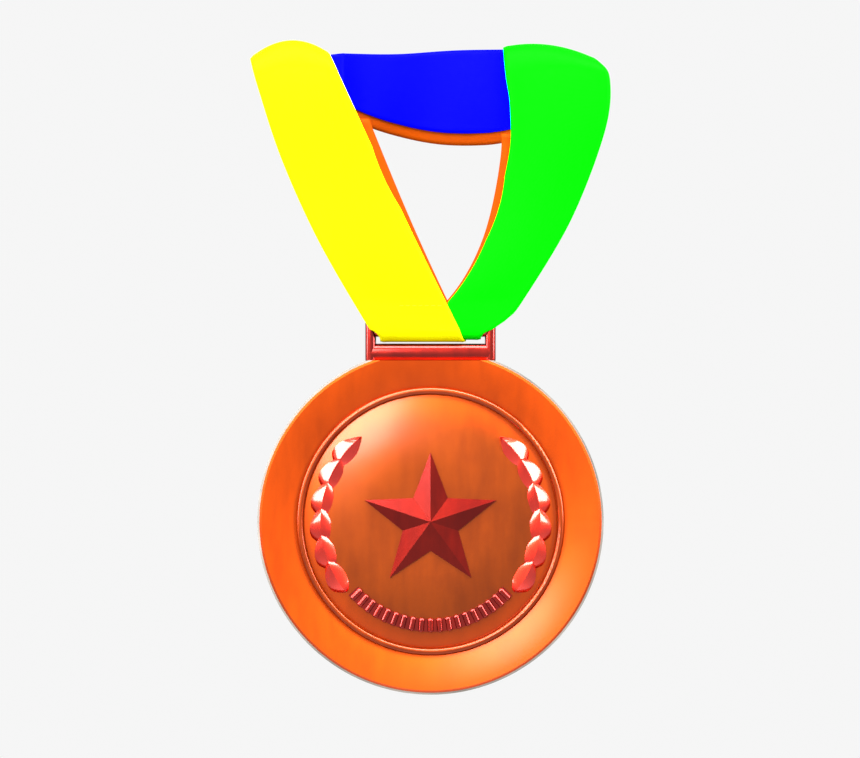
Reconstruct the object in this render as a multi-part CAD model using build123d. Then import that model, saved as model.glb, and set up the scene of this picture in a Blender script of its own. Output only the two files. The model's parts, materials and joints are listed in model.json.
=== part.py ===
from build123d import *
import os
from math import asin, cos, degrees, radians, sin, sqrt, tan

# An award medal on a short neck ribbon of three colours, hanging as it does in use.
# +X is to the right in the front view, -Y is the front, +Z is up.
# The origin is the middle of the neck band's inner face, where the ribbon rests on a neck or a hook.
# The metal medal swings on the ribbon about the round top bar of its hanger.
os.makedirs("parts", exist_ok=True)

# ---- driving dimensions, mm --------------------------------------------------------------
medal_d = 70.0              # over the edge band
medal_t = 5.6               # cast body, front land to back
neck_height = 87.0          # neck band's middle above the medal's centre
loop_depth = 18.0           # medal's middle plane in front of the neck band's inner face

# ribbon
cloth_t = 0.35              # one layer of satin ribbon
cloth_gap = 0.10            # air between two layers
crest_r = 4.3               # middle of the cloth where a strap turns over at the top
hem_z = -7.0                # lower end of a strap's hem, behind
tail_rise = 5.6             # a strap's tail above the top bar
tail_start = 0.7            # straight part of the tail before it leans forward
tail_step = 0.26            # its bends lie this much higher in each layer
sewn_l = 2.0                # upper part of the tails, lying flat against the straps
gather_half = 10.6          # half width that the straps share where they enter the hanger
strap_in = 7.2              # a strap's inner edge there, past the middle
yellow_crest = 10.4         # top of each strap
green_crest = 9.7
seam_left_x = -18.0         # where the neck band leaves the hems
seam_right_x = 17.5
lap = 9.0                   # of the neck band over a hem
lining_margin = 2.5         # lining below the neck band
thread_d = 0.3
thread_stand = 0.1          # stitches proud of the cloth

# hanger
hanger_w = 26.5
hanger_depth = 3.1
side_bar_w = 2.25
foot_height = 3.44          # lower bar, from the medal's flat to the slot
bar_r = hanger_depth / 2    # round top bar
bar_rise = 2.85             # top bar's axis above the slot's floor
bar_clearance = 0.20        # cloth to top bar
hanger_soft = 0.6           # outer edges
slot_corner = 0.6
slot_soft = 0.7             # edges of the slot
dowel_r = 0.8
dowel_l = 5.0
dowel_x = 7.5

# medal
band_t = 0.4
flat_height = 32.56         # flat on the rim, above the medal's centre, that carries the hanger
recess_r = 27.1
lip_drop = 1.8              # ring's inner edge below its outer one
lip_slope = 20.0            # degrees that the ring's face slopes there
rim_soft = 0.5              # bevel at the rim
bezel_w = 1.35
bezel_h = 1.25
bezel_soft = 0.6
web_front = 0.5
web_back = -1.4
plate_r = 26.0
disc_r = 25.65
disc_top = 2.6
disc_edge = 0.75
disc_flat_r = 11.0

# applied ornament
wreath_r = 21.8
leaf_count = 6
leaf_first = 139.7          # degrees, top leaf of the left hand branch
leaf_step = 14.1
leaf_tip = 5.3              # from the widest place to the tip
leaf_foot = 2.7             # and to the rounded foot
leaf_run = 1.15             # how far the flanks go on below the leaf's base, as a part of those
leaf_half_w = 2.3
leaf_h = 1.25
leaf_keel = 4.0             # sharpness of the midrib: how far the two flanks' axes lie apart, halved
leaf_mid = 1.2              # widest place below the middle of the leaf
leaf_root = 1.4             # depth of a leaf below its own base, before it is fitted to the disc
leaf_sink = 1.1             # base of a leaf below the disc's flat
leaf_nod = 10.0             # degrees that a leaf leans out with the dome
leaf_pitch = 13.0           # degrees that its tip rises over the foot of the next leaf
star_r = 14.0
star_waist = 0.42           # inner corners' radius as a part of the points' radius
star_base = 0.35
star_sink = 0.3             # below the disc's flat, before it is fitted to the disc
star_h = 1.7
gadroon_r = 21.0
gadroon_w = 2.6
gadroon_first = 222.0       # degrees
gadroon_span = 96.0
gadroon_count = 19
gadroon_top = 2.15
rib_r = 0.62
rib_soft = 0.45
rib_over = 0.3              # ribs longer than the strip is wide

# ---- places worked out from them ---------------------------------------------------------
medal_r = medal_d / 2
half_t = medal_t / 2
bar_height = flat_height + foot_height + bar_rise
bar_z = bar_height - neck_height
bar_y = -loop_depth
inner_layer = bar_r + bar_clearance + cloth_t / 2
outer_layer = inner_layer + cloth_t + cloth_gap
gather_z = bar_z + 1.9
foot_z = bar_z - outer_layer
left_lap_y = bar_y - outer_layer + 2 * crest_r + cloth_t + cloth_gap
right_lap_y = bar_y - inner_layer + 2 * crest_r + cloth_t + cloth_gap
# medal parts are drawn lying on their backs: x to the right, y up the medal, z out of its face
stand_up = Pos(0, bar_y, -neck_height) * Rot(90, 0, 0)


def save(node, shape):
    """Write one sub-part to its own STEP file."""
    if isinstance(shape, (list, ShapeList)):
        shape = Compound(children=list(shape))
    shape.label = node
    export_step(shape, f"parts/{node}.step")


def turned(outline):
    """Solid of revolution about z from a closed outline of (radius, height) lines."""
    return revolve(Plane.XZ * make_face(outline), Axis.Z)


def lay_on(shape, under):
    """Cut what lies under a piece away from it, so that it sits on it face to face."""
    rest = shape - under
    return max(rest.solids(), key=lambda s: s.volume)


# ---- medal -------------------------------------------------------------------------------
def rim_cut():
    """Everything above the flat that carries the hanger."""
    return Pos(0, flat_height + medal_r, 0) * Box(medal_d, medal_d, medal_d)


def dowel_bores():
    bore = Rot(90, 0, 0) * Cylinder(dowel_r, dowel_l)
    return [Pos(side * dowel_x, flat_height, 0) * bore for side in (-1, 1)]


def make_body():
    """Cast ring and floor: the ring's face slopes down towards the sunk middle."""
    r = medal_r - band_t
    lip = half_t - lip_drop
    line = Polyline((r - rim_soft, half_t), (r, half_t - rim_soft), (r, rim_soft - half_t),
                    (r - rim_soft, -half_t), (plate_r, -half_t), (plate_r, web_back),
                    (0, web_back), (0, web_front), (recess_r, web_front), (recess_r, lip))
    roll = TangentArc(line @ 1, line @ 0, tangent=(1, tan(radians(lip_slope))))
    body = turned([line, roll]) - rim_cut()
    for bore in dowel_bores():
        body -= bore
    return body


def make_edge_band():
    """Thin bright hoop round the rim, open at the hanger."""
    hoop = Cylinder(medal_r, medal_t - 1.0) - Cylinder(medal_r - band_t, medal_t)
    return hoop - rim_cut()


def make_bezel():
    """Round-topped bead that holds the centre disc in its recess."""
    hoop = Cylinder(recess_r, bezel_h) - Cylinder(recess_r - bezel_w, bezel_h)
    top = hoop.edges().filter_by(GeomType.CIRCLE).group_by(Axis.Z)[-1]
    return Pos(0, 0, web_front + bezel_h / 2) * fillet(top, bezel_soft)


def make_disc():
    """Centre disc, flat in the middle and domed to its border."""
    line = Polyline((disc_r, disc_edge), (disc_r, web_front), (0, web_front), (0, disc_top),
                    (disc_flat_r, disc_top))
    dome = TangentArc((disc_flat_r, disc_top), (disc_r, disc_edge), tangent=(1, 0))
    return turned([line, dome])


def make_back_plate():
    """Plate let into the back, flush with it."""
    return Pos(0, 0, (web_back - half_t) / 2) * Cylinder(plate_r, half_t + web_back)


def slot_edges(frame, slot_half, floor):
    """Edges of the hanger that border its slot."""
    near = 1e-3
    return frame.edges().filter_by(lambda e: abs(e.center().X) < slot_half + near
                                   and e.center().Y > floor - near)


def outer_rim(edge):
    """Whether an edge lies wholly in the hanger's front or back face."""
    return abs(edge.bounding_box().size.Z) < 1e-3 and abs(edge.center().Z) > hanger_depth / 2 - 1e-3


def make_hanger():
    """Slotted frame on the rim: rounded side bars, a foot and a round top bar for the ribbon."""
    section = Plane.YZ * (Pos(flat_height + (bar_height - flat_height) / 2, 0)
                          * Rectangle(bar_height - flat_height, hanger_depth)
                          + Pos(bar_height, 0) * Circle(bar_r))
    frame = extrude(section, hanger_w / 2, both=True)
    ends = frame.faces().sort_by(Axis.X)
    rims = ends[0].edges() + ends[-1].edges()
    frame = fillet(rims.filter_by(lambda e: e.center().Y > flat_height + 0.1), hanger_soft)
    slot_half = hanger_w / 2 - side_bar_w
    floor = flat_height + foot_height
    tall = 10.0
    frame -= Pos(0, floor + tall / 2, 0) * Box(2 * slot_half, tall, tall)
    frame = fillet(slot_edges(frame, slot_half, floor).filter_by(Axis.Z), slot_corner)
    frame = fillet(slot_edges(frame, slot_half, floor).filter_by(outer_rim), slot_soft)
    bar = Pos(0, bar_height, 0) * Rot(0, 90, 0) * Cylinder(bar_r, 2 * slot_half + 1.0)
    frame += bar
    for bore in dowel_bores():
        frame -= bore
    return frame


def make_leaf(angle):
    """Laurel leaf with a sharp midrib, rounded at the foot and pointed up the branch."""
    sunk = ((leaf_keel + leaf_half_w)**2 - leaf_keel**2 - leaf_h**2) / (2 * leaf_h)
    girth = sqrt((leaf_keel + leaf_half_w)**2 + sunk**2)
    taper = girth - sqrt(leaf_keel**2 + sunk**2)
    tip_r = (leaf_tip**2 + taper**2) / (2 * taper)
    foot_r = (leaf_foot**2 + taper**2) / (2 * taper)
    # a flank is part of a body turned about an axis that lies below it, on the other side of the midrib
    to_tip = CenterArc((girth - tip_r, 0), tip_r, 0, degrees(asin(leaf_run * leaf_tip / tip_r)))
    to_foot = CenterArc((girth - foot_r, 0), foot_r, 0, -degrees(asin(leaf_run * leaf_foot / foot_r)))
    ends = [to_foot @ 1, to_tip @ 1]
    rest = Polyline(ends[0], (0, ends[0].Y), (0, ends[1].Y), ends[1])
    drop = revolve(make_face([to_tip, to_foot, rest]), Axis.Y)
    reach = 3 * leaf_tip
    quarter = Pos(reach / 2, 0, reach / 2 - leaf_root) * Box(reach, reach, reach)
    half = Pos(-leaf_keel, -leaf_mid, -sunk) * drop & quarter
    upper = half + mirror(half, Plane.YZ)
    x = wreath_r * cos(radians(angle))
    y = wreath_r * sin(radians(angle))
    lean = Rot(0, 0, angle - 180) * Rot(0, -leaf_nod, 0) * Rot(leaf_pitch, 0, 0)
    leaf = Pos(x, y, disc_top - leaf_sink) * lean * upper
    return leaf & Pos(0, 0, disc_edge + reach) * Box(medal_d, medal_d, 2 * reach)


def make_branch(disc, mirrored):
    """Six leaves of one branch, each lapping over the foot of the leaf above it."""
    leaves = []
    for number in range(leaf_count):
        angle = leaf_first + number * leaf_step
        leaves.append(make_leaf(angle))
    for number in range(leaf_count - 1):
        leaves[number] = lay_on(leaves[number], leaves[number + 1])
    fitted = [lay_on(leaf, disc) for leaf in leaves]
    return [mirror(leaf, Plane.YZ) for leaf in fitted] if mirrored else fitted


def star_face(scale):
    corners = []
    for number in range(10):
        r = star_r * scale * (1 if number % 2 == 0 else star_waist)
        turn = radians(90 + 36 * number)
        corners.append((r * cos(turn), r * sin(turn)))
    return make_face(Polyline(*corners, close=True))


def make_star(disc):
    """Five-pointed star with a ridge down each point."""
    base = Pos(0, 0, -star_sink) * extrude(star_face(1.0), star_base + star_sink)
    foot = Pos(0, 0, star_base) * star_face(1.0)
    peak = Pos(0, 0, star_h) * star_face(0.02)
    return lay_on(Pos(0, 0, disc_top) * (base + loft([foot, peak], ruled=True)), disc)


def make_gadroons(disc):
    """Curved strip of short radial ribs under the star."""
    inner = CenterArc((0, 0), gadroon_r - gadroon_w / 2, gadroon_first, gadroon_span)
    outer = CenterArc((0, 0), gadroon_r + gadroon_w / 2, gadroon_first, gadroon_span)
    sector = make_face([inner, outer, Line(inner @ 0, outer @ 0), Line(inner @ 1, outer @ 1)])
    band = extrude(Pos(0, 0, disc_edge) * sector, gadroon_top - disc_edge)
    rod = Cylinder(rib_r, gadroon_w + rib_over)
    rib = Rot(0, 90, 0) * fillet(rod.edges().filter_by(GeomType.CIRCLE), rib_soft)
    for number in range(gadroon_count):
        turn = gadroon_first + gadroon_span * (number + 0.5) / gadroon_count
        band += Rot(0, 0, turn) * Pos(gadroon_r, 0, gadroon_top - 0.1) * rib
    return lay_on(band, disc)


# ---- ribbon ------------------------------------------------------------------------------
def band_along(path):
    """Endlessly wide cloth of one layer's thickness that follows a path in the side view, as (y, z)."""
    return extrude(Plane.YZ * trace(path, cloth_t), medal_d, both=True)


def prism(outline):
    """Everything behind and in front of an outline drawn in the front view, as (x, z)."""
    return extrude(Plane.XZ * make_face(outline), 4 * loop_depth, both=True)


def strap(layer, order, crest_z, front_outline, lean):
    """A strap: over the crest from its hem, down the front, under the top bar and up as a tail."""
    fold_z = crest_z - cloth_t / 2 - crest_r
    front_y = bar_y - layer
    quarter = CenterArc((bar_y, bar_z), layer, 180, 90)
    rise = Line((front_y, bar_z), (front_y, fold_z))
    crest = CenterArc((front_y + crest_r, fold_z), crest_r, 0, 180)
    hem = Line((front_y + 2 * crest_r, fold_z), (front_y + 2 * crest_r, hem_z))
    front = band_along([quarter, rise, crest, hem]) & prism(front_outline)
    # the tail leans forward over the bar until it lies against the straps
    back_quarter = CenterArc((bar_y, bar_z), layer, 270, 90)
    tail_y = bar_y - inner_layer + order * (cloth_t + cloth_gap)
    bend = bar_z + tail_step * order
    tail = Polyline((bar_y + layer, bar_z), (bar_y + layer, bend + tail_start),
                    (tail_y, bend + tail_rise - sewn_l), (tail_y, bar_z + tail_rise))
    low = bar_z - layer - 1
    near = lean * strap_in
    far = -lean * gather_half
    tail_outline = Polyline((far, low), (near, low), (near, bar_z), (-far, bar_z + tail_rise + 1),
                            (-near, bar_z + tail_rise + 1), (far, bar_z), close=True)
    back = band_along([back_quarter, tail]) & prism(tail_outline)
    return front + back


def yellow_outline():
    """Front view of the strap on the left, which lies on top."""
    outer = Spline((-36.6, 6.9), (-30.1, -13.8), (-18.4, -38.1), (-gather_half, gather_z))
    crest = Spline((-20.4, 7.7), (-26.5, yellow_crest), (-36.6, 6.9))
    foot = Polyline(outer @ 1, (-gather_half, foot_z), (strap_in, foot_z), crest @ 0)
    return [outer, crest, foot]


def green_outline():
    """Front view of the strap on the right."""
    crest = Spline((14.9, 7.7), (22.2, green_crest), (34.4, 5.9), (36.4, 0.4))
    outer = Spline(crest @ 1, (31.9, -17.8), (18.8, -42.2), (gather_half, gather_z),
                   tangents=(crest % 1, (-1, -1)))
    inner = Spline((-strap_in, foot_z), (3.3, -42.8), (11.3, -30.0), (15.7, -13.8), (14.9, 7.7))
    foot = Polyline(outer @ 1, (gather_half, foot_z), inner @ 0)
    return [crest, outer, foot, inner]


def neck_edges(top_inset, bottom_drop, left, right):
    """Front view of the neck band, or of its lining, between two upright ends."""
    top = Spline((left, 9.0 - top_inset), (-1.0, 9.8 - top_inset), (right, 10.5 - top_inset))
    bottom = Spline((-27.0, 1.6 - bottom_drop), (-14.3, -3.0 - bottom_drop), (1.9, -6.8 - bottom_drop),
                    (15.7, -6.9 - bottom_drop), (26.0, -5.9 - bottom_drop))
    return top, bottom


def upright_box(left, right):
    """Everything between a left and a right end."""
    return Pos((left + right) / 2, 0, 0) * Box(right - left, 4 * neck_height, 4 * neck_height)


def neck_strip(path, top_inset, bottom_drop, left, right):
    """A strip that follows a path in plan, cut to the neck band's front view."""
    reach = 27.0
    top, bottom = neck_edges(top_inset, bottom_drop, -reach, reach - 1)
    outline = [top, bottom, Line(top @ 0, bottom @ 0), Line(top @ 1, bottom @ 1)]
    strip = extrude(trace(path, cloth_t), 2 * reach, both=True)
    return strip & prism(outline) & upright_box(left, right)


def neck_bow():
    """Plan of the neck band between the hems, bowed back round the neck."""
    return ThreePointArc((seam_left_x, left_lap_y), (0, cloth_t / 2), (seam_right_x, right_lap_y))


def make_neck_band():
    left = seam_left_x - lap
    right = seam_right_x + lap
    path = [Line((left, left_lap_y), (seam_left_x, left_lap_y)), neck_bow(),
            Line((seam_right_x, right_lap_y), (right, right_lap_y))]
    return neck_strip(path, 0, 0, left, right)


def make_neck_lining():
    """Backing outside the neck band: it reaches below the band and shows there as a border."""
    bow = neck_bow()
    around = CenterArc(bow.arc_center, bow.radius + cloth_t + cloth_gap, 0, 180)
    return neck_strip([around], 1.5, lining_margin, seam_left_x + 1, seam_right_x - 1)


def flat_strip(y, outline):
    """One layer of cloth hanging flat at a depth."""
    return Pos(0, y, 0) * extrude(Plane.XZ * make_face(outline), cloth_t / 2, both=True)


def make_left_lining():
    """Backing behind the yellow strap: its edge shows along the opening and tapers to nothing."""
    shown = Line((-13.2, -5.2), (2.3, -40.0))
    back = Polyline(shown @ 1, (-9.0, -40.0), (-28.0, -5.2), shown @ 0)
    return flat_strip(bar_y - inner_layer, [shown, back])


def make_right_lining():
    """Backing behind the green strap."""
    shown = Spline((14.6, -8.5), (14.2, -15.0), (10.4, -30.0), (5.4, -38.5))
    back = Polyline(shown @ 1, (17.0, -38.5), (30.0, -14.0), (31.0, -8.5), shown @ 0)
    return flat_strip(bar_y - inner_layer + cloth_t + cloth_gap, [shown, back])


def stitches(start, end, count, y, depth):
    """A run of equal stitches between two points of the front view, through the cloth at depth y."""
    run = Vector(end[0] - start[0], 0, end[1] - start[1])
    turn = Vector(1, 0, 0).get_signed_angle(run, Vector(0, 1, 0))
    stitch = Rot(0, turn, 0) * Box(run.length / count * 0.7, depth, thread_d)
    made = []
    for number in range(count):
        at = (number + 0.5) / count
        made.append(Pos(start[0] + run.X * at, y, start[1] + run.Z * at) * stitch)
    return made


def make_seam(left, right, low, high, y):
    """Box stitching through a neck band's end and the hem under it."""
    depth = 2 * cloth_t + cloth_gap + 2 * thread_stand
    corners = [(left, low), (right, low), (right, high), (left, high)]
    made = []
    for number, corner in enumerate(corners):
        made += stitches(corner, corners[(number + 1) % 4], 5, y, depth)
    return made


def build_ribbon():
    save("ribbon_yellow", strap(outer_layer, 2, yellow_crest, yellow_outline(), 1))
    save("ribbon_green", strap(inner_layer, 1, green_crest, green_outline(), -1))
    save("ribbon_blue", make_neck_band())
    save("lining_neck", make_neck_lining())
    save("lining_left", make_left_lining())
    save("lining_right", make_right_lining())
    mid = (cloth_t + cloth_gap) / 2
    save("seam_left", make_seam(-26.0, -19.0, -0.5, 5.5, left_lap_y - mid))
    save("seam_right", make_seam(18.5, 25.0, -5.0, 6.5, right_lap_y - mid))
    front_y = bar_y - outer_layer
    back_y = bar_y - inner_layer + 2 * (cloth_t + cloth_gap)
    tack_z = bar_z + tail_rise - 0.9
    tack_depth = back_y - front_y + cloth_t + 2 * thread_stand
    tack_y = (front_y + back_y) / 2
    save("tail_stitching", stitches((-6.5, tack_z), (2.5, tack_z), 7, tack_y, tack_depth))


def build_medal():
    disc = make_disc()
    save("star_emblem", stand_up * make_star(disc))
    save("gadroon_band", stand_up * make_gadroons(disc))
    for side, mirrored in (("left", False), ("right", True)):
        for number, leaf in enumerate(make_branch(disc, mirrored), 1):
            save(f"leaf_{side}_{number}", stand_up * leaf)
    save("centre_disc", stand_up * disc)
    save("medal_body", stand_up * make_body())
    save("edge_band", stand_up * make_edge_band())
    save("bezel_ring", stand_up * make_bezel())
    save("back_plate", stand_up * make_back_plate())
    save("hanger_frame", stand_up * make_hanger())
    for side, dowel in zip(("left", "right"), dowel_bores()):
        save(f"hanger_dowel_{side}", stand_up * dowel)


build_medal()
build_ribbon()
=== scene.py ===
import json
import math

import bmesh
import bpy
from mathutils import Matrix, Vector


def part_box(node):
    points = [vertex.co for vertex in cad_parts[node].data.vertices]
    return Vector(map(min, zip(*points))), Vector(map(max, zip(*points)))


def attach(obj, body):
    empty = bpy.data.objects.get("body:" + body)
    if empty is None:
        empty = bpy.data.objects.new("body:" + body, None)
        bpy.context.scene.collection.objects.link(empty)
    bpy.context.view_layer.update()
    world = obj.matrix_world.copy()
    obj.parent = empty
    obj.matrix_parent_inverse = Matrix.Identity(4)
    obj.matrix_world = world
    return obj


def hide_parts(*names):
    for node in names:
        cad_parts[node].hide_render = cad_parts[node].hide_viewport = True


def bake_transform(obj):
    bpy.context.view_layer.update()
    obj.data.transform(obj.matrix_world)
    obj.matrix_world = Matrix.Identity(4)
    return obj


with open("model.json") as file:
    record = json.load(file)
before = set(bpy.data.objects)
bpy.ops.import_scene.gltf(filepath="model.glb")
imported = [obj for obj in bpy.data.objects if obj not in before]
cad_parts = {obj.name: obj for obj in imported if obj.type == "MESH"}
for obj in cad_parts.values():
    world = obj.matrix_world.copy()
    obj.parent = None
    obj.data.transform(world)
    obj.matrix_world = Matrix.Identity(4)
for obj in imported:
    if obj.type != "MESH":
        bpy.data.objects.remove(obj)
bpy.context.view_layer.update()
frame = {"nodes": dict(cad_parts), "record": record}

# ---- sizes and places, in metres -----------------------------------------------------------
MM = 0.001
JOINT = frame["record"]["behaviour"]["joints"][0]
BAR = Vector(JOINT["pos_m"])                 # middle of the hanger's round top bar
DISC_R = 25.65 * MM
CENTRE = Vector((0, BAR.y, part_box("centre_disc")[0][2] + DISC_R))    # middle of the medal
CLOTH = 0.35 * MM                            # one layer of ribbon
AIR = 0.10 * MM                              # between two layers
BAR_R = 1.55 * MM
THREAD_R = 0.14 * MM

INNER = BAR_R + 0.20 * MM + CLOTH / 2        # middle of the green layer round the bar
OUTER = INNER + CLOTH + AIR                  # middle of the yellow layer round the bar
CREST_R = 4.3 * MM                           # of the roll over the top of a strap


# ---- materials -----------------------------------------------------------------------------
class Shader:
    """A material's node tree, with short ways to add and join nodes."""

    def __init__(self, name):
        self.material = bpy.data.materials.new(name)
        self.material.use_nodes = True
        self.tree = self.material.node_tree
        self.bsdf = self.tree.nodes["Principled BSDF"]

    def node(self, kind, **settings):
        made = self.tree.nodes.new(kind)
        for key, value in settings.items():
            if hasattr(made, key):
                setattr(made, key, value)
            else:
                made.inputs[key.replace("_", " ")].default_value = value
        return made

    def join(self, source, target):
        self.tree.links.new(source, target)

    def set(self, **values):
        for key, value in values.items():
            self.bsdf.inputs[key.replace("_", " ")].default_value = value

    def math(self, operation, a, b=0.0, c=0.0):
        made = self.tree.nodes.new("ShaderNodeMath")
        made.operation = operation
        for socket, value in zip(made.inputs, (a, b, c)):
            if hasattr(value, "is_output"):
                self.join(value, socket)
            else:
                socket.default_value = value
        return made.outputs[0]

    def ramp(self, factor, *stops):
        made = self.tree.nodes.new("ShaderNodeValToRGB")
        self.join(factor, made.inputs[0])
        elements = made.color_ramp.elements
        while len(elements) < len(stops):
            elements.new(0.5)
        for element, (place, colour) in zip(elements, stops):
            element.position = place
            element.color = (*colour, 1)
        return made.outputs[0]

    def noise(self, vector, scale, detail=3.0, stretch=(1, 1, 1)):
        mapped = self.node("ShaderNodeMapping")
        mapped.inputs["Scale"].default_value = stretch
        self.join(vector, mapped.inputs[0])
        made = self.node("ShaderNodeTexNoise", Scale=scale, Detail=detail)
        self.join(mapped.outputs[0], made.inputs["Vector"])
        return made.outputs[0]

    def bump(self, height, distance, strength=1.0):
        made = self.node("ShaderNodeBump", Strength=strength, Distance=distance)
        self.join(height, made.inputs["Height"])
        self.join(made.outputs[0], self.bsdf.inputs["Normal"])


PAINTED_RIM_LIGHT_FROM = 19 * MM                        # the disc's colour turns to its border's between these radii: the lighter border is a painted highlight, standing in for light on the dome's sloping edge
PAINTED_RIM_LIGHT_TO = 26 * MM
WARP_PITCH = 0.16                            # of the weave, in millimetres
WEFT_PITCH = 0.24


def satin(name, colour, shade):
    """Satin ribbon: long warp threads with fine weft ribs, mapped by the cloth's own thread position."""
    s = Shader(name)
    place = s.node("ShaderNodeAttribute", attribute_name="thread").outputs["Vector"]
    split = s.node("ShaderNodeSeparateXYZ")
    s.join(place, split.inputs[0])
    across, along = split.outputs[0], split.outputs[1]
    warp = s.math("SINE", s.math("MULTIPLY", across, 2 * math.pi / WARP_PITCH))
    weft = s.math("SINE", s.math("MULTIPLY", along, 2 * math.pi / WEFT_PITCH))
    weave = s.math("ADD", s.math("MULTIPLY", warp, 0.4), s.math("MULTIPLY", weft, 0.6))
    slub = s.noise(place, 1.0, 4.0, (6.0, 0.35, 1.0))
    cloudy = s.noise(place, 0.12, 2.0)
    tone = s.math("ADD", s.math("MULTIPLY", slub, 0.6), s.math("MULTIPLY", cloudy, 0.4))
    tone = s.math("ADD", tone, s.math("MULTIPLY", weave, 0.10))
    s.join(s.ramp(tone, (0.30, shade), (0.62, colour)), s.bsdf.inputs["Base Color"])
    rough = s.math("ADD", s.math("MULTIPLY", slub, 0.25), 0.38)
    s.join(rough, s.bsdf.inputs["Roughness"])
    s.set(Specular_IOR_Level=0.015)
    height = s.math("ADD", s.math("MULTIPLY", weave, 0.5), s.math("MULTIPLY", slub, 0.8))
    s.bump(height, 0.04 * MM, 0.6)
    return s.material


def thread(name, colour):
    """Sewing thread: two plies twisted along its length."""
    s = Shader(name)
    place = s.node("ShaderNodeAttribute", attribute_name="thread").outputs["Vector"]
    wave = s.node("ShaderNodeTexWave", Scale=1.6, Distortion=0.6)
    wave.bands_direction = "DIAGONAL"
    s.join(place, wave.inputs["Vector"])
    dark = tuple(c * 0.6 for c in colour)
    s.join(s.ramp(wave.outputs[1], (0.2, dark), (0.7, colour)), s.bsdf.inputs["Base Color"])
    s.set(Roughness=0.7, Specular_IOR_Level=0.05)
    s.bump(wave.outputs[1], 0.03 * MM)
    return s.material


def bronze(name, colour, worn, roughness, coat, coat_roughness, grain, border=None, coat_ior=1.5):
    """Lacquered cast metal: cloudy colour, fine pits and rubbed patches under a thin clear coat.

    border is a round node and the lighter colour that the metal takes on towards that node's rim: a
    painted highlight, standing in for light on the sloping edge of a dome.
    """
    s = Shader(name)
    place = s.node("ShaderNodeTexCoord").outputs["Object"]
    cloudy = s.noise(place, 110.0, 4.0)
    fine = s.noise(place, 1500.0, 5.0)
    scuffs = s.noise(place, 420.0, 6.0, (1.0, 1.0, 0.22))
    mixed = s.math("ADD", s.math("MULTIPLY", cloudy, 0.7), s.math("MULTIPLY", scuffs, 0.3))
    tint = s.ramp(mixed, (0.36, worn), (0.60, colour))
    # painted highlight: the colour lightens towards the node's rim, where the dome's slope would catch the
    # light
    if border:
        centre = frame["nodes"][border[0]].matrix_world.inverted() @ CENTRE
        away = s.node("ShaderNodeVectorMath", operation="SUBTRACT")
        s.join(place, away.inputs[0])
        away.inputs[1].default_value = centre
        reach = s.node("ShaderNodeVectorMath", operation="LENGTH")
        s.join(away.outputs[0], reach.inputs[0])
        blend = s.node("ShaderNodeMix", data_type="RGBA")
        share = s.node("ShaderNodeMapRange", interpolation_type="SMOOTHSTEP")
        s.join(reach.outputs["Value"], share.inputs["Value"])
        share.inputs["From Min"].default_value = PAINTED_RIM_LIGHT_FROM
        share.inputs["From Max"].default_value = PAINTED_RIM_LIGHT_TO
        s.join(share.outputs[0], blend.inputs["Factor"])
        s.join(tint, blend.inputs["A"])
        blend.inputs["B"].default_value = (*border[1], 1)
        tint = blend.outputs["Result"]
    s.join(tint, s.bsdf.inputs["Base Color"])
    rough = s.math("ADD", s.math("MULTIPLY", scuffs, 0.16), roughness - 0.06)
    s.join(rough, s.bsdf.inputs["Roughness"])
    s.set(Metallic=1.0, Coat_Weight=coat, Coat_Roughness=coat_roughness, Coat_IOR=coat_ior)
    height = s.math("ADD", s.math("MULTIPLY", fine, 0.5), s.math("MULTIPLY", scuffs, 0.5))
    s.bump(height, 0.02 * MM, grain)
    return s.material


def brushed(name, colour):
    """Silver-grey hoop, brushed round its edge."""
    s = Shader(name)
    place = s.node("ShaderNodeTexCoord").outputs["Object"]
    lines = s.noise(place, 900.0, 4.0, (0.08, 4.0, 0.08))
    dark = tuple(c * 0.7 for c in colour)
    s.join(s.ramp(lines, (0.3, dark), (0.7, colour)), s.bsdf.inputs["Base Color"])
    s.join(s.math("ADD", s.math("MULTIPLY", lines, 0.25), 0.25), s.bsdf.inputs["Roughness"])
    s.set(Metallic=1.0)
    s.bump(lines, 0.02 * MM, 0.4)
    return s.material


def paper_white(name, colour):
    """Pale matt floor with a very slight mottle."""
    s = Shader(name)
    place = s.node("ShaderNodeTexCoord").outputs["Object"]
    mottle = s.noise(place, 6.0, 2.0)
    dark = tuple(c * 0.985 for c in colour)
    s.join(s.ramp(mottle, (0.0, dark), (1.0, colour)), s.bsdf.inputs["Base Color"])
    s.set(Roughness=0.9, Specular_IOR_Level=0.1)
    return s.material


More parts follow.
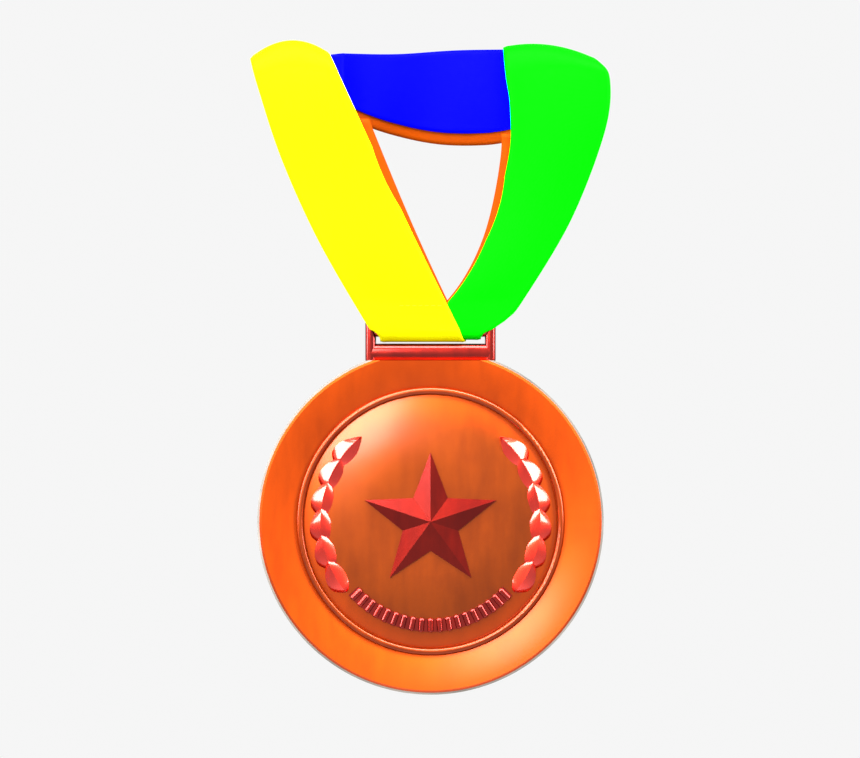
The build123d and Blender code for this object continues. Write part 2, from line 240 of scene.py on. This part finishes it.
MATERIALS = {
    "yellow": satin("yellow_satin", (0.42, 0.42, 0.0), (0.38, 0.35, 0.0)),
    "green": satin("green_satin", (0.0, 0.42, 0.0), (0.0, 0.35, 0.0)),
    "blue": satin("blue_satin", (0.0, 0.0, 0.60), (0.0, 0.0, 0.46)),
    "lining": satin("orange_lining", (0.22, 0.030, 0.0), (0.18, 0.022, 0.0)),
    "orange": bronze("orange_bronze", (0.42, 0.047, 0.0004), (0.385, 0.042, 0.0003), 0.46, 0.24, 0.26,
                     0.3),
    # the bezel's bead is painted darker than the ring so that it reads as a thin dark line: painted shade
    # of the grooves on either side of it
    "bead": bronze("bead_bronze_painted_groove_shade", (0.24, 0.027, 0.0003), (0.20, 0.022, 0.0002), 0.40, 0.45, 0.20, 0.3),
    # the disc's own brown, lightening to orange towards its rim: that lighter rim is a painted highlight
    # for the light on the dome's edge
    "brown": bronze("brown_bronze_painted_rim_light", (0.23, 0.034, 0.0006), (0.19, 0.026, 0.0004), 0.42, 0.40, 0.22, 0.3,
                    border=("centre_disc", (0.40, 0.045, 0.0004))),
    "plate": bronze("plate_bronze", (0.30, 0.036, 0.0005), (0.24, 0.028, 0.0004), 0.42, 0.35, 0.24, 0.3),
    "red": bronze("red_bronze", (0.24, 0.006, 0.001), (0.16, 0.003, 0.0006), 0.28, 0.55, 0.16, 0.15),
    "emblem": bronze("emblem_bronze", (0.17, 0.004, 0.0008), (0.12, 0.002, 0.0004), 0.32, 0.32, 0.20,
                     0.15),
    "leaf": bronze("red_leaf_bronze", (0.62, 0.018, 0.003), (0.46, 0.010, 0.002), 0.26, 0.8, 0.12, 0.10,
                   coat_ior=1.55),
    "blue_thread": thread("blue_thread", (0.0, 0.0, 0.50)),
    "yellow_thread": thread("yellow_thread", (0.52, 0.50, 0.0)),
    "silver": brushed("silver_edge", (0.36, 0.32, 0.28)),
}


def paint(node, material):
    """Give a CAD node a finished material."""
    for slot in frame["nodes"][node].material_slots:
        slot.material = MATERIALS[material]


def paint_medal():
    """Finish the CAD nodes that stay visible."""
    paint("medal_body", "orange")
    paint("bezel_ring", "bead")
    paint("centre_disc", "brown")
    paint("back_plate", "plate")
    for node in ("edge_band", "hanger_dowel_left", "hanger_dowel_right"):
        paint(node, "silver")
    paint("gadroon_band", "red")
    paint("star_emblem", "emblem")


# ---- metal ---------------------------------------------------------------------------------
CREASE = math.radians(38)                    # edges sharper than this stay crisp


def metal_piece(name, bm, material, node):
    """Finish a mesh as a smooth metal piece on the medal in the place of a CAD node."""
    mesh = bpy.data.meshes.new(name)
    bmesh.ops.recalc_face_normals(bm, faces=bm.faces)
    for face in bm.faces:
        face.smooth = True
    for edge in bm.edges:
        if len(edge.link_faces) == 2 and edge.calc_face_angle() > CREASE:
            edge.smooth = False
    bm.to_mesh(mesh)
    bm.free()
    mesh.materials.append(MATERIALS[material])
    made = bpy.data.objects.new(name, mesh)
    bpy.context.collection.objects.link(made)
    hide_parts(node)
    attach(made, "medal")


def join_rings(bm, rings):
    """Skin a list of equal rings of vertices and close both ends."""
    for a, b in zip(rings, rings[1:]):
        count = len(a)
        for k in range(count):
            bm.faces.new((a[k], a[(k + 1) % count], b[(k + 1) % count], b[k]))
    bm.faces.new(rings[0][::-1])
    bm.faces.new(rings[-1])


# ---- wreath, in millimetres ----------------------------------------------------------------
LEAF_L = 8.0
LEAF_W = 2.4                                 # half width
LEAF_H = 1.35
LEAF_WIDEST = 0.34                           # share of the length, from the foot
LEAF_BURIED = 1.3                            # of the leaf's side, below its own base
LEAF_PITCH = math.radians(9)                 # the tip rises over the foot of the next leaf
LEAF_NOD = math.radians(4)                   # and the leaf leans out with the dome
WREATH_R = 21.8
WREATH_START = 139.7                         # degrees round the medal, of the topmost leaf
WREATH_STEP = 14.1
WREATH_Z = 1.62                              # the disc's dome under the wreath, above the middle plane


def leaf_point(across, along, up, angle, mirrored):
    """From a leaf's own frame, in millimetres, to the medal as it hangs."""
    y = along * math.cos(LEAF_PITCH) - up * math.sin(LEAF_PITCH)
    z = along * math.sin(LEAF_PITCH) + up * math.cos(LEAF_PITCH)
    x = across * math.cos(LEAF_NOD) - z * math.sin(LEAF_NOD)
    z = across * math.sin(LEAF_NOD) + z * math.cos(LEAF_NOD)
    turn = angle - math.pi
    px = WREATH_R * math.cos(angle) + x * math.cos(turn) - y * math.sin(turn)
    py = WREATH_R * math.sin(angle) + x * math.sin(turn) + y * math.cos(turn)
    if mirrored:
        px = -px
    return CENTRE + Vector((px * MM, -(WREATH_Z + z) * MM, py * MM))


def make_leaves():
    """Laurel leaves with a round foot, a sharp tip and a midrib, each lapping over the next one's foot."""
    stations = 22
    around = 14
    for side, mirrored in (("left", False), ("right", True)):
        for number in range(6):
            angle = math.radians(WREATH_START + WREATH_STEP * number)
            bm = bmesh.new()
            rings = []
            for i in range(stations + 1):
                part = i / stations
                # widest a third of the way up, round below it and tapering to a point above
                if part < LEAF_WIDEST:
                    wide = math.sqrt(max(0.0, 1 - ((LEAF_WIDEST - part) / LEAF_WIDEST) ** 2))
                else:
                    wide = 1 - ((part - LEAF_WIDEST) / (1 - LEAF_WIDEST)) ** 1.9
                half = LEAF_W * max(wide, 0.02)
                high = LEAF_H * (0.12 + 0.88 * max(wide, 0.0) ** 0.75)
                along = LEAF_L * (part - 0.5)
                bend = 0.35 * math.sin(math.pi * part)
                ring = []
                for k in range(around + 1):
                    v = 2 * k / around - 1
                    up = high * (0.8 * (1 - abs(v)) + 0.2 * (1 - v * v))
                    place = leaf_point(v * half - bend, along, up, angle, mirrored)
                    ring.append(bm.verts.new(place))
                for v in (0.96, -0.96):
                    place = leaf_point(v * half - bend, along, -LEAF_BURIED, angle, mirrored)
                    ring.append(bm.verts.new(place))
                rings.append(ring)
            join_rings(bm, rings)
            node = f"leaf_{side}_{number + 1}"
            metal_piece(f"laurel_{side}_{number + 1}", bm, "leaf", node)


# ---- hanger --------------------------------------------------------------------------------
MEDAL_FLAT = 32.56 * MM                      # the medal's top is cut flat at this height over its middle


def bar_rings(bm, start, end, across, depth, power, soft):
    """A straight bar of rounded section between two points, rounded at both ends.

    power is 2 for a round section and larger for a squarer one; soft is the rounding at the ends.
    """
    run = (end - start).normalized()
    length = (end - start).length
    side = Vector((0, 1, 0)).cross(run)
    around = 28
    rings = []
    inset = [(0.0, 0.62), (0.12, 0.82), (0.40, 0.95), (1.0, 1.0)]
    stops = [(soft * a, k) for a, k in inset] + [(length - soft * a, k) for a, k in reversed(inset)]
    for reach, shrink in stops:
        ring = []
        for k in range(around):
            turn = 2 * math.pi * k / around
            c, n = math.cos(turn), math.sin(turn)
            u = math.copysign(abs(c) ** (2 / power), c) * across / 2
            v = math.copysign(abs(n) ** (2 / power), n) * depth / 2
            u -= math.copysign(min(abs(u), (1 - shrink) * soft), u)
            v -= math.copysign(min(abs(v), (1 - shrink) * soft), v)
            ring.append(bm.verts.new(start + run * reach + side * u + Vector((0, v, 0))))
        rings.append(ring)
    join_rings(bm, rings)


def make_hanger():
    """Cast hanger: a soft-edged foot on the medal's flat, two side bars and a round top bar."""
    flat = CENTRE.z + MEDAL_FLAT
    half_w = 13.25 * MM
    side_w = 2.25 * MM
    foot_h = 3.44 * MM
    depth = 3.1 * MM
    bm = bmesh.new()
    sunk = 0.4 * MM
    foot_z = flat + (foot_h - sunk) / 2
    foot_end = half_w - 0.7 * MM
    foot = [Vector((x, BAR.y, foot_z)) for x in (-foot_end, foot_end)]
    bar_rings(bm, *foot, foot_h + sunk, depth, 2.4, 0.3 * MM)
    for side in (-1, 1):
        x = side * (half_w - side_w / 2)
        upright = [Vector((x, BAR.y, z)) for z in (flat - sunk / 2, BAR.z + BAR_R)]
        bar_rings(bm, *upright, side_w, depth, 2.8, 0.45 * MM)
    inner = half_w - side_w + 0.5 * MM
    top = [Vector((x, BAR.y, BAR.z)) for x in (-inner, inner)]
    bar_rings(bm, *top, 2 * BAR_R, 2 * BAR_R, 2.0, 0.3 * MM)
    metal_piece("hanger_cast", bm, "red", "hanger_frame")


# ---- cloth ---------------------------------------------------------------------------------
def smooth_line(points):
    """Closely set points of a smooth curve through the given ones."""
    ends = [points[0] * 2 - points[1], *points, points[-1] * 2 - points[-2]]
    steps = 24
    fine = []
    for i in range(1, len(ends) - 2):
        p0, p1, p2, p3 = ends[i - 1:i + 3]
        for step in range(steps):
            t = step / steps
            fine.append(0.5 * (2 * p1 + (p2 - p0) * t + (2 * p0 - 5 * p1 + 4 * p2 - p3) * t * t
                               + (3 * p1 - p0 - 3 * p2 + p3) * t ** 3))
    fine.append(points[-1])
    return fine


def cloth_strip(name, rows, material):
    """One layer of ribbon between pairs of edge points, with rounded selvedges.

    rows holds (edge a, edge b, lift) from end to end: lift is how far the cloth's middle arches out.
    """
    across = 24
    mesh = bpy.data.meshes.new(name)
    bm = bmesh.new()
    grid = []
    for edge_a, edge_b, lift in rows:
        line = []
        for i in range(across + 1):
            u = i / across
            arch = 1 - (2 * u - 1) ** 2
            line.append(edge_a.lerp(edge_b, u) + lift * arch)
        grid.append(line)
    count = len(grid)
    normals = []
    for j in range(count):
        row = []
        for i in range(across + 1):
            du = grid[j][min(i + 1, across)] - grid[j][max(i - 1, 0)]
            dv = grid[min(j + 1, count - 1)][i] - grid[max(j - 1, 0)][i]
            row.append(du.cross(dv).normalized())
        normals.append(row)
    places = []
    sides = []
    travelled = 0.0
    along = [0.0]
    for j in range(1, count):
        travelled += (grid[j][across // 2] - grid[j - 1][across // 2]).length
        along.append(travelled)
    for sign in (1, -1):
        side = []
        for j in range(count):
            line = []
            run = grid[min(j + 1, count - 1)][across // 2] - grid[max(j - 1, 0)][across // 2]
            run.normalize()
            for i in range(across + 1):
                edge = min(i, across - i)
                # the selvedge is a little cord, thicker than the cloth, that rounds off at the very edge
                half = CLOTH * (0.16 if edge == 0 else 0.62 if edge == 1 else 0.5)
                line.append(bm.verts.new(grid[j][i] + normals[j][i] * half * sign))
                off = grid[j][i] - grid[j][across // 2]
                skew = off.dot(run)
                flat = math.copysign((off - run * skew).length, i - across / 2)
                places.append((flat / MM, (along[j] + skew) / MM, 0.0))
            side.append(line)
        sides.append(side)
    front, back = sides
    for j in range(count - 1):
        for i in range(across):
            bm.faces.new((front[j][i], front[j][i + 1], front[j + 1][i + 1], front[j + 1][i]))
            bm.faces.new((back[j][i], back[j + 1][i], back[j + 1][i + 1], back[j][i + 1]))
        for i, flip in ((0, False), (across, True)):
            quad = [front[j][i], front[j + 1][i], back[j + 1][i], back[j][i]]
            bm.faces.new(reversed(quad) if flip else quad)
    for j, flip in ((0, True), (count - 1, False)):
        for i in range(across):
            quad = [front[j][i], front[j][i + 1], back[j][i + 1], back[j][i]]
            bm.faces.new(quad if not flip else reversed(quad))
    bmesh.ops.recalc_face_normals(bm, faces=bm.faces)
    for face in bm.faces:
        face.smooth = True
    bm.to_mesh(mesh)
    bm.free()
    attribute = mesh.attributes.new("thread", "FLOAT_VECTOR", "POINT")
    attribute.data.foreach_set("vector", [c for place in places for c in place])
    mesh.materials.append(MATERIALS[material])
    made = bpy.data.objects.new(name, mesh)
    bpy.context.collection.objects.link(made)
    return made


def edge_at(line, z):
    """The x at which an edge of the front view, listed from the top down, passes a height."""
    for a, b in zip(line, line[1:]):
        if a.z >= z >= b.z:
            return a.x + (b.x - a.x) * (a.z - z) / max(a.z - b.z, 1e-9)
    return line[0].x if z > line[0].z else line[-1].x


GATHER = 10.2 * MM                           # half width of both straps in the slot
PAST_MIDDLE = 7.2 * MM                       # how far a strap's inner edge reaches there
TAIL_RISE = 5.6 * MM
HEM_Z = -7.0 * MM
FOLD_Z = 3.2 * MM                            # ends of the crest's roll
CUP = Vector((0, -0.9 * MM, 0))              # a strap's middle stands forward of its edges
ARCH = 1.4 * MM                              # rise of a strap's middle where it enters the crest
HEM_INSET = 0.7 * MM
HEM_BOW = 0.25 * MM
SWAY = 0.35 * MM                             # slow waves down the front of a strap
SWELL_END = 0.88                             # share of the front at which the cup has run out
TAIL_SHIFT = 1.6 * MM                        # sideways, from the bar to the tail's end
TAIL_LEAN = 3.0 * MM                         # height over which a tail leans forward


def outline(*points):
    """A smooth edge of the front view through (x, z) points in millimetres.

    The straps' edges run from the top down and the neck band's from left to right.
    """
    return smooth_line([Vector((x * MM, 0, z * MM)) for x, z in points])


def strap_rows(layer, order, outer, inner, bulge, side):
    """Rows of a strap from the hem behind, over the crest, down the front, under the bar, up the tail.

    layer is its distance from the bar's axis and order its place in the stack. outer and inner are its
    front view edges, bulge is the rise of the crest's middle, and side is -1 where outer is on the left.
    """
    front_y = BAR.y - layer
    rows = []

    def row(x_out, z_out, x_in, z_in, y, lift):
        ends = [Vector((x_out, y, z_out)), Vector((x_in, y, z_in))]
        rows.append((*ends[::-side], lift))

    for i in range(12):
        # hem: just inside the strap's own outline, easing up into the roll
        part = i / 12
        z = HEM_Z + (FOLD_Z - HEM_Z) * part
        y = front_y + 2 * CREST_R - HEM_BOW * math.sin(part * math.pi)
        inset = side * HEM_INSET * (1 - part)
        row(edge_at(outer, z) - inset, z, edge_at(inner, z) + inset, z, y, Vector((0, 0, ARCH * part)))
    for i in range(29):
        turn = math.pi * i / 28
        rise = math.sin(turn)
        y = front_y + CREST_R * (1 + math.cos(turn))
        z_out = FOLD_Z + (outer[0].z - FOLD_Z) * rise
        z_in = FOLD_Z + (inner[0].z - FOLD_Z) * rise
        lift = Vector((0, 0, ARCH + (bulge - ARCH) * rise))
        row(edge_at(outer, z_out), z_out, edge_at(inner, z_in), z_in, y, lift)
    steps = 64
    for i in range(1, steps):
        part = i / steps
        z = FOLD_Z + (BAR.z - FOLD_Z) * part
        swell = math.sin(math.pi * min(1, part / SWELL_END)) ** 0.7 if part < SWELL_END else 0.0
        lift = CUP * swell + Vector((0, 0, ARCH * max(0, 1 - part * 5)))
        sway = SWAY * math.sin(part * 7.0 + order)
        row(edge_at(outer, z), z, edge_at(inner, z), z, front_y - sway * swell, lift)
    none = Vector((0, 0, 0))
    out_bar = edge_at(outer, BAR.z)
    in_bar = edge_at(inner, BAR.z)
    for i in range(25):
        turn = math.pi * i / 24
        y = BAR.y - layer * math.cos(turn)
        z = BAR.z - layer * math.sin(turn)
        drawn_in = 1 - max(0.0, 1 - turn / (0.5 * math.pi)) ** 4
        x_out = out_bar + (side * GATHER - out_bar) * drawn_in
        x_in = in_bar + (-side * PAST_MIDDLE - in_bar) * min(1.0, turn / (0.5 * math.pi))
        row(x_out, z, x_in, z, y, none)
    tail_y = BAR.y - INNER + order * (CLOTH + AIR)
    for i in range(1, 17):
        # the tail goes on across, behind the other strap, and leans forward over the bar
        part = i / 16
        lean = min(1.0, max(0.0, (part * TAIL_RISE - (0.7 + 0.3 * order) * MM) / TAIL_LEAN))
        y = BAR.y + layer + (tail_y - BAR.y - layer) * lean
        across = -side * TAIL_SHIFT * part
        row(side * GATHER + across, BAR.z + TAIL_RISE * part, -side * PAST_MIDDLE + across,
            BAR.z + TAIL_RISE * part, y, none)
    return rows


YELLOW_OUTER = outline((-36.6, 6.9), (-34.8, 0.4), (-30.1, -13.8), (-22.8, -30.0), (-13.5, -46.2),
                       (-10.2, -50.9))
YELLOW_INNER = outline((-20.4, 7.7), (-17.1, 0.4), (-5.0, -25.9), (7.2, -50.9))
GREEN_OUTER = outline((33.9, 6.6), (36.3, 2.4), (35.3, -8.0), (28.5, -25.9), (18.8, -42.2), (15.6, -46.0),
                      (12.6, -48.15), (10.0, -50.9))
GREEN_INNER = outline((14.8, 9.2), (16.1, -4.0), (15.7, -13.8), (11.3, -30.0), (3.9, -42.2), (-7.2, -51.0))


def bend_at_bar(piece):
    """Bake a piece's place into its mesh; its lower end is not made to go round with the medal."""
    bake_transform(piece)


def make_straps():
    """The yellow strap in front and the green one behind it at the hanger."""
    yellow = strap_rows(OUTER, 2, YELLOW_OUTER, YELLOW_INNER, 3.2 * MM, -1)
    green = strap_rows(INNER, 1, GREEN_OUTER, GREEN_INNER, 1.7 * MM, 1)
    for colour, rows in (("yellow", yellow), ("green", green)):
        piece = cloth_strip(f"strap_{colour}", rows, colour)
        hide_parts(f"ribbon_{colour}")
        bend_at_bar(piece)


SEAM_LEFT_X = -18.0 * MM
SEAM_RIGHT_X = 17.5 * MM
LAP = 9.0 * MM
BLUE_TOP = outline((-30.0, 7.2), (-19.4, 8.4), (-14.6, 8.95), (-6.3, 9.45), (1.9, 10.1), (8.0, 10.2),
                   (14.4, 9.8), (19.0, 9.0), (30.0, 8.0))
BLUE_BOTTOM = outline((-30.0, 3.0), (-14.6, -2.9), (-6.3, -5.3), (1.9, -6.8), (10.2, -7.2), (16.0, -6.9),
                      (30.0, -5.6))


def height_at(line, x):
    """The z of an edge that runs from left to right."""
    for a, b in zip(line, line[1:]):
        if a.x <= x <= b.x:
            return a.z + (b.z - a.z) * (x - a.x) / max(b.x - a.x, 1e-9)
    return line[0].z if x < line[0].x else line[-1].z


def neck_plan():
    """Plan of the neck band: a lap on each hem and a bow back round the neck between them."""
    left_y = BAR.y - OUTER + 2 * CREST_R + CLOTH + AIR
    right_y = BAR.y - INNER + 2 * CREST_R + CLOTH + AIR
    left = Vector((SEAM_LEFT_X, left_y, 0))
    right = Vector((SEAM_RIGHT_X, right_y, 0))
    back = CLOTH / 2
    # circle through the two seams and the neck band's middle
    half = (right.x - left.x) / 2
    sag = back - (left_y + right_y) / 2
    r = (half * half + sag * sag) / (2 * sag)
    mid = Vector(((left.x + right.x) / 2, back - r, 0))
    reach = math.asin(half / r)
    return left, right, mid, r, reach


def neck_rows(out, drop, top_inset, laps):
    """Rows from left to right of the neck band, or of the lining outside it."""
    left, right, mid, r, reach = neck_plan()
    places = []
    if laps:
        for i in range(10):
            places.append(left + Vector((-LAP * (1 - i / 10), 0.12 * MM, 0)))
    count = 72
    shrink = 1.0 if laps else 0.93
    for i in range(count + 1):
        turn = reach * shrink * (2 * i / count - 1)
        places.append(mid + Vector(((r + out) * math.sin(turn), (r + out) * math.cos(turn), 0)))
    if laps:
        for i in range(10):
            places.append(right + Vector((LAP * (i + 1) / 10, 0.12 * MM, 0)))
    rows = []
    for place in places:
        low = height_at(BLUE_BOTTOM, place.x) - drop
        high = height_at(BLUE_TOP, place.x) - top_inset
        ends = [Vector((place.x, place.y, z)) for z in (low, high)]
        rows.append((*ends, Vector((0, 0, 0))))
    return rows


def make_neck():
    """The blue neck band, and the lining outside it that shows below."""
    rows = neck_rows(0, 0, 0, True)
    band = cloth_strip("neck_band_blue", rows, "blue")
    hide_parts("ribbon_blue")
    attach(band, "ribbon")
    rows = neck_rows(CLOTH + AIR, 2.5 * MM, 1.5 * MM, False)
    lining = cloth_strip("neck_band_lining", rows, "lining")
    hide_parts("lining_neck")
    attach(lining, "ribbon")


def make_strap_linings():
    """Backing behind each strap: its edge shows along the opening, less and less on the way down."""
    low = -43.3
    green_back = BAR.y - INNER + CLOTH + AIR
    for name, side, inner, high, y in (("left", -1, YELLOW_INNER, -5.6, BAR.y - INNER),
                                       ("right", 1, GREEN_INNER, -8.6, green_back)):
        rows = []
        steps = 40
        for i in range(steps + 1):
            part = i / steps
            z = (high + (low - high) * part) * MM
            shown = (1.45 * (1 - part) ** 1.5 + 0.45) * MM
            near = edge_at(inner, z)
            far = near + side * 15.0 * MM * (1 - 0.25 * part)
            lift = Vector((0, -0.5 * MM * math.sin(math.pi * part) ** 0.7, 0))
            ends = [Vector((far, y, z)), Vector((near - side * shown, y, z))]
            rows.append((*ends[::-side], lift))
        piece = cloth_strip(f"strap_lining_{name}", rows, "lining")
        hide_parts(f"lining_{name}")
        bend_at_bar(piece)


def stitch(bm, places, start, end, y, out):
    """One bowed stitch whose ends dip into the cloth. out is the way that its cloth face looks."""
    run = end - start
    length = run.length
    run.normalize()
    side = Vector((0, 1, 0)).cross(run)
    rings = []
    steps = 8
    around = 8
    for i in range(steps + 1):
        part = i / steps
        bow = math.sin(math.pi * part)
        r = THREAD_R * (0.45 + 0.55 * min(1, 2.2 * bow))
        middle = start.lerp(end, part)
        middle.y = y + out * (0.16 * bow - 0.06) * MM
        ring = []
        for k in range(around):
            turn = 2 * math.pi * k / around
            place = middle + side * r * math.cos(turn) + Vector((0, r * math.sin(turn), 0))
            ring.append(bm.verts.new(place))
            places.append((r * turn / MM, length * part / MM, 0.0))
        rings.append(ring)
    for a, b in zip(rings, rings[1:]):
        for k in range(around):
            bm.faces.new((a[k], a[(k + 1) % around], b[(k + 1) % around], b[k]))
    bm.faces.new(rings[0][::-1])
    bm.faces.new(rings[-1])


def stitched_line(bm, places, start, end, count, faces):
    """A run of stitches between two points of the front view, seen on both faces of the layers."""
    for i in range(count):
        a = start.lerp(end, (i + 0.14) / count)
        b = start.lerp(end, (i + 0.86) / count)
        for y, out in faces:
            stitch(bm, places, a, b, y, out)


def sewing(name, colour, node, lines):
    """Stitches of one seam as one piece: lines holds (start, end, count, faces)."""
    mesh = bpy.data.meshes.new(name)
    bm = bmesh.new()
    places = []
    for start, end, count, faces in lines:
        stitched_line(bm, places, start, end, count, faces)
    bmesh.ops.recalc_face_normals(bm, faces=bm.faces)
    for face in bm.faces:
        face.smooth = True
    bm.to_mesh(mesh)
    bm.free()
    attribute = mesh.attributes.new("thread", "FLOAT_VECTOR", "POINT")
    attribute.data.foreach_set("vector", [c for place in places for c in place])
    mesh.materials.append(MATERIALS[colour])
    made = bpy.data.objects.new(name, mesh)
    bpy.context.collection.objects.link(made)
    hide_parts(node)
    return made


def make_stitches():
    """Box seams of the neck band's ends and the tack through the straps' tails."""
    for side, layer, left, right, low, high in (("left", OUTER, -26.0, -19.0, -0.5, 5.5),
                                                ("right", INNER, 18.5, 25.0, -5.0, 6.5)):
        hem_y = BAR.y - layer + 2 * CREST_R
        faces = [(hem_y + CLOTH * 1.5 + AIR + 0.12 * MM, 1), (hem_y - CLOTH / 2 - 0.1 * MM, -1)]
        corners = [Vector((x * MM, 0, z * MM))
                   for x, z in ((left, low), (right, low), (right, high), (left, high))]
        lines = []
        for number, corner in enumerate(corners):
            count = 6 if number % 2 == 0 else 7
            lines.append((corner, corners[(number + 1) % 4], count, faces))
        seam = sewing(f"stitches_{side}", "blue_thread", f"seam_{side}", lines)
        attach(seam, "ribbon")
    tack_z = BAR.z + TAIL_RISE - 0.9 * MM
    front_y = BAR.y - OUTER - CLOTH / 2
    back_y = BAR.y - INNER + 2 * (CLOTH + AIR) + CLOTH / 2
    ends = [Vector((x * MM, 0, tack_z)) for x in (-6.5, 2.5)]
    faces = [(front_y, -1), (back_y, 1)]
    lines = [(*ends, 7, faces)]
    tack = sewing("stitches_tails", "yellow_thread", "tail_stitching", lines)
    bend_at_bar(tack)


# ---- camera, light and floor ---------------------------------------------------------------
FRAME_W = 174.4 * MM                         # what the front view takes in at the medal's middle plane
FRAME_MID_X = -0.1 * MM
FRAME_RISE = 28.8 * MM                       # of the frame's middle above the medal's


def put_camera():
    """A long lens straight in front, level with the frame's middle."""
    camera = bpy.data.cameras.new("camera")
    camera.sensor_width = 36.0
    camera.lens = 135.0
    distance = FRAME_W * camera.lens / camera.sensor_width
    made = bpy.data.objects.new("camera", camera)
    bpy.context.collection.objects.link(made)
    aim = Vector((FRAME_MID_X, BAR.y, CENTRE.z + FRAME_RISE))
    made.location = aim + Vector((0, -distance, 0))
    made.rotation_euler = (math.pi / 2, 0, 0)
    camera.clip_start = 0.01
    camera.clip_end = 50
    bpy.context.scene.camera = made


def lamp(name, where, aim, size, power):
    """A soft box that looks at a point."""
    light = bpy.data.lights.new(name, "AREA")
    light.shape = "RECTANGLE"
    light.size, light.size_y = size
    light.energy = power
    made = bpy.data.objects.new(name, light)
    bpy.context.collection.objects.link(made)
    made.location = where
    made.rotation_euler = (Vector(aim) - Vector(where)).to_track_quat("-Z", "Y").to_euler()


SURROUNDINGS = 0.92                          # brightness of the white room


def light_room():
    """White surroundings and four soft boxes round the front of the medal."""
    world = bpy.data.worlds.new("studio")
    bpy.context.scene.world = world
    world.use_nodes = True
    background = world.node_tree.nodes["Background"]
    background.inputs[0].default_value = (1.0, 1.0, 1.0, 1)
    background.inputs[1].default_value = SURROUNDINGS
    bpy.context.scene.view_settings.view_transform = "Standard"
    lamp("key_box", (-0.185, -0.548, 0.135), (0, BAR.y, CENTRE.z), (0.22, 0.22), 4.4)
    lamp("top_box", (0.0, -0.26, 0.42), (0, BAR.y, CENTRE.z), (0.7, 0.3), 16.0)
    lamp("left_box", (-0.46, -0.22, 0.14), (0, BAR.y, CENTRE.z), (0.2, 0.5), 7.5)
    lamp("right_box", (0.46, -0.22, 0.14), (0, BAR.y, CENTRE.z), (0.2, 0.5), 7.5)


FLOOR_DROP = 0.9                             # below the medal, out of the front view


def lay_floor():
    """A wide pale floor."""
    bm = bmesh.new()
    bmesh.ops.create_grid(bm, x_segments=8, y_segments=8, size=6.0)
    mesh = bpy.data.meshes.new("floor")
    bm.to_mesh(mesh)
    bm.free()
    floor = bpy.data.objects.new("floor", mesh)
    bpy.context.collection.objects.link(floor)
    floor.location.z = CENTRE.z - FLOOR_DROP
    mesh.materials.append(paper_white("pale_floor", (0.93, 0.93, 0.93)))


put_camera()
light_room()
lay_floor()
paint_medal()
make_leaves()
make_hanger()
make_straps()
make_neck()
make_strap_linings()
make_stitches()
